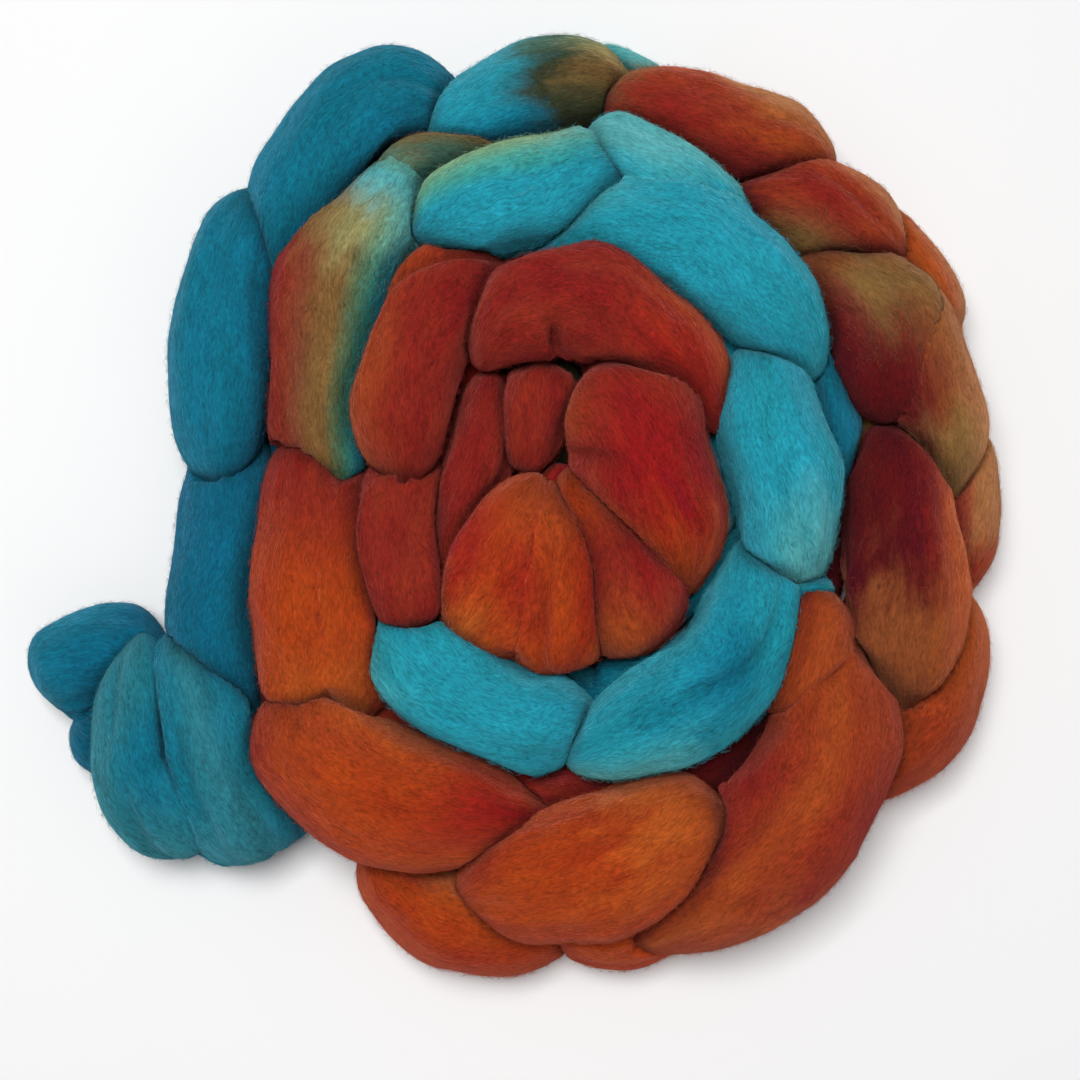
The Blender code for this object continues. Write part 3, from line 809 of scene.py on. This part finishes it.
def fibre_mesh(paths, outward, thickness):
    """Thin three-sided spindles along the paths, pointed at both ends and closed."""
    heading = np.gradient(paths, axis=1)
    heading /= np.linalg.norm(heading, axis=2, keepdims=True)
    across = np.cross(heading, outward)
    across /= np.maximum(np.linalg.norm(across, axis=2, keepdims=True), TINY)
    up = np.cross(across, heading)
    rings = []
    for corner in range(3):
        angle = 2 * math.pi * corner / 3
        off_line = (across * math.cos(angle) + up * math.sin(angle)) * thickness / 2
        rings.append((paths + off_line)[:, 1:-1])
    rings = np.stack(rings, axis=2).reshape(len(paths), -1, 3)
    points = np.concatenate((paths[:, :1], rings, paths[:, -1:]), axis=1)
    one = []
    last = points.shape[1] - 1
    for corner in range(3):
        beside = (corner + 1) % 3
        one.append((0, 1 + beside, 1 + corner))
        for near in range(1, last - 3, 3):
            far = near + 3
            one += [(near + corner, near + beside, far + beside), (near + corner, far + beside, far + corner)]
        one.append((last, last - 3 + corner, last - 3 + beside))
    faces = (np.array(one)[None] + (np.arange(len(paths)) * (last + 1))[:, None, None]).reshape(-1, 3)
    return points.reshape(-1, 3), faces, len(one)


def fibres_piece(name, skins, chart, density, seed):
    """The loose fibres over one turn of the braid, each of one dye."""
    rng = np.random.default_rng(seed)
    names = list(PALETTE)
    points, faces, dyes = [], [], []
    first = 0
    for skin in skins:
        for kind in FIBRES:
            found = fibre_paths(skin, kind, density, rng)
            if found is None:
                continue
            path, outward, along, around = found
            some_points, some_faces, each = fibre_mesh(path, outward, kind.thickness)
            points.append(some_points)
            faces.append(some_faces + first)
            dyes.append(np.repeat(pick_dyes(skin, along, around, chart, names, rng), each))
            first += len(some_points)
    used, slots = np.unique(np.concatenate(dyes), return_inverse=True)
    materials = [loose_fibre(names[number]) for number in used]
    piece = new_piece(name, np.concatenate(points), np.concatenate(faces).tolist(), materials)
    piece.data.polygons.foreach_set("material_index", slots.astype(np.int32))
    return piece


# ---------------------------------------------------------------- materials

PALETTE = {
    "deep_teal": "#06607B",
    "teal": "#0A6E86",
    "turquoise": "#1F92A5",
    "pale_turquoise": "#53A7AA",
    "grey_teal": "#2A7886",
    "olive": "#313522",
    "moss": "#3D6052",
    "sage": "#7FA078",
    "khaki": "#7F5C32",
    "gold": "#938E5C",
    "honey": "#A86D40",
    "brown": "#874623",
    "rust": "#872318",
    "russet": "#9A3D19",
    "red": "#951A14",
    "maroon": "#5A0D13",
    "orange": "#A43B10",
    "amber": "#B1521B",
}
# Light passes through a loose fibre, so it looks lighter than the wool it lies on: its dye's linear colour is
# made this much brighter, and then this much is added to it.
FIBRE_BRIGHT, FIBRE_PALE = 1.3, 0.015
WOOL_IOR = 1.54


def add(tree, kind, links=None, inputs=None, **settings):
    """Adds a node of one kind with its settings, the values of its inputs and the links into it."""
    node = tree.nodes.new("ShaderNode" + kind)
    for name, value in settings.items():
        setattr(node, name, value)
    for name, value in (inputs or {}).items():
        node.inputs[name].default_value = value
    for name, source in (links or {}).items():
        tree.links.new(source, node.inputs[name])
    return node


def new_material(name):
    """A material with an empty tree."""
    material = bpy.data.materials.new(name)
    material.use_nodes = True
    material.node_tree.nodes.clear()
    return material


def combed_top():
    """Combed top, dyed by hand: fibres drawn parallel, then softly felted by the dye bath. It is matt and
    mottled, with short wavy streaks and dyes that bleed into one another; where strands meet and in deep
    folds it is darkened by painted shade."""
    name = "combed_wool_top_hand_dyed"
    if name in bpy.data.materials:
        return bpy.data.materials[name]
    material = new_material(name)
    tree = material.node_tree
    lie = add(tree, "Attribute", attribute_name="lie").outputs["Vector"]

    def blotches(where, length, width, detail):
        """Blotches drawn out along the fibres, of `length` by `width` millimetres."""
        per_mm = (1 / length, 1 / width, 1 / width)
        scaled = add(tree, "VectorMath", {0: where}, {1: per_mm}, operation="MULTIPLY")
        return add(tree, "TexNoise", {"Vector": scaled.outputs[0]}, {"Scale": 1.0, "Detail": detail}).outputs

    def swayed(where, sway, by):
        """Places moved aside by a pattern of blotches, up to half of `by` millimetres each way."""
        return add(tree, "VectorMath", {0: sway, 2: where}, {1: by}, operation="MULTIPLY_ADD").outputs[0]

    def weighed(start, *parts):
        """`start`, plus how far each pattern lies from its middle value, times its weight."""
        total = None
        for source, weight in parts:
            node = add(tree, "Math", {0: source}, {1: weight, 2: -weight / 2}, operation="MULTIPLY_ADD")
            if total is None:
                node.inputs[2].default_value += start
            else:
                tree.links.new(add(tree, "Math", {0: total}, {1: -weight / 2}).outputs[0], node.inputs[2])
            total = node.outputs[0]
        return total

    bent = swayed(lie, blotches(lie, 26, 13, 1.0)["Color"], (8.0, 7.0, 7.0))
    wavy = swayed(bent, blotches(lie, 5, 4, 2.0)["Color"], (2.0, 1.8, 1.8))
    streaks = blotches(wavy, 5.5, 1.6, 3.0)["Fac"]
    fine = blotches(wavy, 1.8, 0.5, 3.0)["Fac"]  # a real fibre is 0.03 mm wide; this is as fine as shows
    cloud = blotches(wavy, 15, 8, 3.0)["Fac"]
    blot = blotches(lie, 44, 17, 2.0)["Fac"]
    speck = blotches(bent, 1.5, 1.1, 2.0)["Fac"]

    ramps = add(tree, "SeparateXYZ", {0: add(tree, "Attribute", attribute_name="ramps").outputs["Vector"]})
    colour = add(tree, "Attribute", attribute_name="dye_start").outputs["Color"]
    bleed = weighed(0.0, (streaks, 0.3), (cloud, 0.8), (blot, 1.3))
    mixing = {"From Min": MIX_FROM, "From Max": MIX_TO}
    for axis, word in (("X", "middle"), ("Y", "end")):
        bled = add(tree, "Math", {0: ramps.outputs[axis], 1: bleed}).outputs[0]
        edge = add(tree, "MapRange", {"Value": bled}, mixing, interpolation_type="SMOOTHSTEP")
        dyed = add(tree, "Attribute", attribute_name="dye_" + word).outputs["Color"]
        mix = add(tree, "Mix", {"Factor": edge.outputs[0], 6: colour, 7: dyed}, data_type="RGBA")
        colour = mix.outputs[2]
    # painted shade: the crease attribute darkens the wool by up to 45% where strands meet and in deep folds
    crease = add(tree, "Attribute", attribute_name="crease").outputs["Fac"]
    strength = weighed(1.0, (streaks, 0.6), (fine, 1.4), (cloud, 0.5), (blot, 0.4))
    pitted = {"From Min": 0.56, "From Max": 0.72, "To Min": 1.0, "To Max": 0.8}
    pits = add(tree, "MapRange", {"Value": speck}, pitted)
    shadow = add(tree, "Math", {0: crease}, {1: -0.45, 2: 1.0}, operation="MULTIPLY_ADD").outputs[0]
    value = add(tree, "Math", {0: strength, 1: shadow}, operation="MULTIPLY").outputs[0]
    value = add(tree, "Math", {0: value, 1: pits.outputs[0]}, operation="MULTIPLY").outputs[0]
    tint = weighed(0.5, (cloud, 0.015), (blot, 0.02))
    shaded = add(tree, "HueSaturation", {"Hue": tint, "Value": value, "Color": colour})
    height = weighed(0.5, (streaks, 0.4), (fine, 0.8), (cloud, 0.9))
    bump = add(tree, "Bump", {"Height": height}, {"Strength": 1.0, "Distance": 0.8 * MM})
    fuzz = add(tree, "HueSaturation", {"Color": shaded.outputs[0]}, {"Saturation": 0.8, "Value": 1.8})
    surface = add(
        tree,
        "BsdfPrincipled",
        {"Base Color": shaded.outputs[0], "Sheen Tint": fuzz.outputs[0], "Normal": bump.outputs[0]},
        {
            "Roughness": 0.95,
            "IOR": WOOL_IOR,
            "Specular IOR Level": 0.12,
            "Sheen Weight": 0.8,
            "Sheen Roughness": 0.4,
            "Subsurface Weight": 0.8,
            "Subsurface Radius": (1.0, 0.8, 0.7),
            "Subsurface Scale": 1.8 * MM,
        },
        subsurface_method="BURLEY",
    )
    add(tree, "OutputMaterial", {"Surface": surface.outputs[0]})
    return material


def loose_fibre(dye):
    """One dyed wool fibre lying loose: a single colour, since one fibre takes one dye, and a dull lustre."""
    name = "loose_wool_fibre_" + dye
    if name in bpy.data.materials:
        return bpy.data.materials[name]
    material = new_material(name)
    tree = material.node_tree
    colour = np.array(getattr(bpy.context.scene.wool_dyes, dye))
    paler = np.minimum(colour * FIBRE_BRIGHT + FIBRE_PALE, 1)
    surface = add(
        tree,
        "BsdfPrincipled",
        {},
        {"Base Color": (*paler, 1.0), "Roughness": 0.8, "IOR": WOOL_IOR, "Specular IOR Level": 0.2},
    )
    add(tree, "OutputMaterial", {"Surface": surface.outputs[0]})
    return material


def table_paint():
    """Matt white laminate, sprayed: an even pale ground that shows only the coil's soft shadow."""
    material = new_material("table_matt_white")
    tree = material.node_tree
    grain = add(tree, "TexNoise", {}, {"Scale": 40.0, "Detail": 3.0})
    tone = add(tree, "MapRange", {"Value": grain.outputs["Fac"]}, {"To Min": 0.89, "To Max": 0.91})
    surface = add(tree, "BsdfPrincipled", {"Base Color": tone.outputs[0]}, {"Roughness": 0.8})
    add(tree, "OutputMaterial", {"Surface": surface.outputs[0]})
    return material


# ---------------------------------------------------------------- what a user can change


def dye_bath(word, hex_colour):
    """One dye's colour, for a user to change."""
    return FloatVectorProperty(
        name=word.replace("_", " ").capitalize(),
        description=f"Linear colour of the {word.replace('_', ' ')} dye",
        subtype="COLOR",
        min=0.0,
        max=1.0,
        default=linear(hex_colour),
    )


class WoolDyes(PropertyGroup):
    """The dye baths of the braid."""

    __annotations__ = {word: dye_bath(word, colour) for word, colour in PALETTE.items()}


def amount(name, description, default, most, least=0.0):
    """A number for a user to change."""
    return FloatProperty(name=name, description=description, default=default, min=least, max=most)


def metres(name, description, default):
    """A length in metres for a user to change."""
    return FloatProperty(name=name, description=description, default=default, unit="LENGTH")


class WoolSettings(PropertyGroup):
    """How the strands lie and how loose their surface is."""

    grain: amount("Skin grain", "Size of one face on the strands that show, in millimetres", 1.5, 5.0, 0.5)
    under_grain: amount("Underside grain", "Size of one face underneath, in millimetres", 3.2, 8.0, 0.5)
    softness: amount("Crease softness", "Width of a crease as a share of a strand's girth", 0.36, 1.0, 0.02)
    lock_depth: amount("Lock depth", "Depth of a strand's long ridges, 1 is that of loose top", 1.0, 3.0)
    fuzz: amount("Fuzz", "How many loose fibres there are, 1 is that of lightly handled top", 1.0, 3.0)
    seed: IntProperty(name="Seed", description="Start of all random draws", default=11, min=0)


class WoolStage(PropertyGroup):
    """The table, the camera and the lamps."""

    floor: metres("Table", "Width of the table", 4.0)
    distance: metres("Camera distance", "From the camera to what it looks at", 0.565)
    across: metres("View width", "Width of what the camera sees at that distance", 0.3078)
    lean: FloatProperty(
        name="Camera lean",
        description="How far the camera leans to the front from straight above",
        default=math.radians(4),
        unit="ROTATION",
    )


# ---------------------------------------------------------------- the operators

TURNS = {
    "tail": ("Loose tail", "The folded end at the front left"),
    "outer_back": ("Outer turn, back", "The first turn's half from the left round the back"),
    "outer_front": ("Outer turn, front", "The first turn's half from the right round the front"),
    "middle_turn": ("Middle turn", "The second turn, higher up and further in"),
    "inner_turn": ("Inner turn", "The last turn and the fan at the middle"),
    "underside": ("Underside", "The strands that lie on the table"),
}
UNDER_FUZZ = 0.25  # how many loose fibres the underside has, as a share of the other turns'
SLANT_SEEDS, FIBRE_SEEDS = 1000, 2000  # added to the seed for the slants' draws and the fibres'
wound = {}  # the skins of each turn, the middle they were moved from, and the settings they were wound with


def rows_of_turns():
    """Every turn's strands by the turn's name."""
    outer, inner = underside()
    return dict(zip(TURNS, (TAIL, OUTER_BACK, OUTER_FRONT, MIDDLE_TURN, INNER_TURN, outer + inner)))


def wind_all():
    """Winds every strand among all the others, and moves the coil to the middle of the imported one."""
    wound.clear()
    settings = bpy.context.scene.wool
    turns = rows_of_turns()
    everything = [row for rows in turns.values() for row in rows]
    for turn, rows in turns.items():
        grain = settings.under_grain if turn == "underside" else settings.grain
        wound[turn] = []
        for row in rows:
            number = everything.index(row)
            others = [other for other in everything if other is not row]
            skin = wind(row, others, grain, settings.softness, settings.lock_depth, settings.seed + number)
            skin["number"] = number
            rng = np.random.default_rng(settings.seed + SLANT_SEEDS + number)
            skin["slant"] = rng.uniform(-SLANT, SLANT)
            wound[turn].append(skin)
    skins = [skin for turn in wound.values() for skin in turn]
    for skin in skins:
        skin["points"], skin["ends"] = settled(skin["points"]), settled(skin["ends"])
    low = np.min([skin["points"].min(0) for skin in skins], axis=0)
    high = np.max([skin["points"].max(0) for skin in skins], axis=0)
    middle = np.array((*((low + high) / 2)[:2], 0.0))
    for skin in skins:
        skin["points"] -= middle
        skin["ends"] -= middle
    wound["middle"] = middle


def skins_of(turn):
    """The skins of one turn, wound again when a setting has been changed."""
    settings = [getattr(bpy.context.scene.wool, name) for name in WoolSettings.__annotations__]
    if wound.get("settings") != settings:
        wind_all()
        wound["settings"] = settings
    return wound[turn]


def turn_choice():
    """Which turn an operator works on."""
    turns = [(turn, *words) for turn, words in TURNS.items()]
    return EnumProperty(name="Turn", description="Part of the coil", items=turns)


class WOOL_OT_strands(Operator):
    """Winds one turn of the braid as strands pressed against one another"""

    bl_idname = "wool.strands"
    bl_label = "Wind strands"
    bl_options = {"REGISTER", "UNDO"}
    turn: turn_choice()

    def execute(self, context):
        strands_piece(f"{self.turn}_strands", skins_of(self.turn), dye_of_each())
        return {"FINISHED"}


class WOOL_OT_fibres(Operator):
    """Raises loose fibres over one turn of the braid"""

    bl_idname = "wool.fibres"
    bl_label = "Raise loose fibres"
    bl_options = {"REGISTER", "UNDO"}
    turn: turn_choice()

    def execute(self, context):
        settings = context.scene.wool
        density = settings.fuzz * (UNDER_FUZZ if self.turn == "underside" else 1.0)
        seed = settings.seed + FIBRE_SEEDS + list(TURNS).index(self.turn)
        fibres_piece(f"{self.turn}_fibres", skins_of(self.turn), dye_of_each(), density, seed)
        return {"FINISHED"}


AIM = (7.1, -10.0, 35.0)  # what the camera looks at, in the strands' own millimetres
NEAREST = 0.01  # nothing nearer to the camera than this shows, in metres
Lamp = namedtuple("Lamp", "name place size power")  # metres and watts
LAMPS = (
    Lamp("softbox_over", (-0.12, 0.16, 1.2), 0.45, 12.5),
    Lamp("softbox_front", (0.5, -0.9, 0.9), 0.9, 1.0),
)
ROOM_LIGHT = 0.25  # strength of the white light from all round


def set_camera(stage, aim):
    """Hangs the camera over the coil, leaning a little to the front."""
    lens = bpy.data.cameras.new("camera")
    lens.sensor_fit = "HORIZONTAL"
    lens.angle = 2 * math.atan(stage.across / 2 / stage.distance)
    lens.clip_start = NEAREST
    camera = bpy.data.objects.new("camera", lens)
    camera.location = aim + Vector((0, -math.sin(stage.lean), math.cos(stage.lean))) * stage.distance
    camera.rotation_euler = (stage.lean, 0, 0)
    bpy.context.scene.collection.objects.link(camera)
    bpy.context.scene.camera = camera


def hang_lamps(aim):
    """Hangs the soft lamps so that they face the coil."""
    for name, place, size, power in LAMPS:
        lamp = bpy.data.lights.new(name, "AREA")
        lamp.shape = "SQUARE"
        lamp.size = size
        lamp.energy = power
        light = bpy.data.objects.new(name, lamp)
        light.location = place
        light.rotation_euler = (aim - Vector(place)).to_track_quat("-Z", "Y").to_euler()
        bpy.context.scene.collection.objects.link(light)


class WOOL_OT_stage(Operator):
    """Sets the plain table, the soft lamps and the camera above"""

    bl_idname = "wool.stage"
    bl_label = "Set the stage"
    bl_options = {"REGISTER", "UNDO"}

    def execute(self, context):
        stage = context.scene.wool_stage
        bpy.ops.mesh.primitive_plane_add(size=stage.floor)
        floor = context.active_object
        floor.name = "table"
        floor.data.materials.append(table_paint())
        aim = (Vector(AIM) - Vector(wound.get("middle", (0, 0, 0)))) * MM
        set_camera(stage, aim)
        hang_lamps(aim)
        world = bpy.data.worlds.new("studio")
        world.use_nodes = True
        background = world.node_tree.nodes["Background"]
        background.inputs["Color"].default_value = (1.0, 1.0, 1.0, 1.0)
        background.inputs["Strength"].default_value = ROOM_LIGHT
        context.scene.world = world
        context.scene.view_settings.view_transform = "Standard"
        return {"FINISHED"}


class WOOL_PT_panel(Panel):
    """Lists the braid's settings and the steps that build it"""

    bl_label = "Wool roving"
    bl_idname = "WOOL_PT_panel"
    bl_space_type = "VIEW_3D"
    bl_region_type = "UI"
    bl_category = "Wool roving"

    def draw(self, context):
        scene = context.scene
        for group in (scene.wool, scene.wool_dyes, scene.wool_stage):
            box = self.layout.box()
            for name in group.__annotations__:
                box.prop(group, name)
        for turn, (label, _) in TURNS.items():
            buttons = self.layout.row(align=True)
            buttons.operator(WOOL_OT_strands.bl_idname, text=label).turn = turn
            buttons.operator(WOOL_OT_fibres.bl_idname, text=f"{label} fibres").turn = turn
        self.layout.operator(WOOL_OT_stage.bl_idname)


CLASSES = (WoolDyes, WoolSettings, WoolStage, WOOL_OT_strands, WOOL_OT_fibres, WOOL_OT_stage, WOOL_PT_panel)


def register():
    for kind in CLASSES:
        bpy.utils.register_class(kind)
    bpy.types.Scene.wool_dyes = PointerProperty(type=WoolDyes)
    bpy.types.Scene.wool = PointerProperty(type=WoolSettings)
    bpy.types.Scene.wool_stage = PointerProperty(type=WoolStage)


def unregister():
    for name in ("wool_dyes", "wool", "wool_stage"):
        delattr(bpy.types.Scene, name)
    for kind in reversed(CLASSES):
        bpy.utils.unregister_class(kind)


def main():
    """Registers the classes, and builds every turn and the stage."""
    register()
    for turn in TURNS:
        bpy.ops.wool.strands(turn=turn)
        bpy.ops.wool.fibres(turn=turn)
    bpy.ops.wool.stage()


if __name__ == "__main__":
    main()
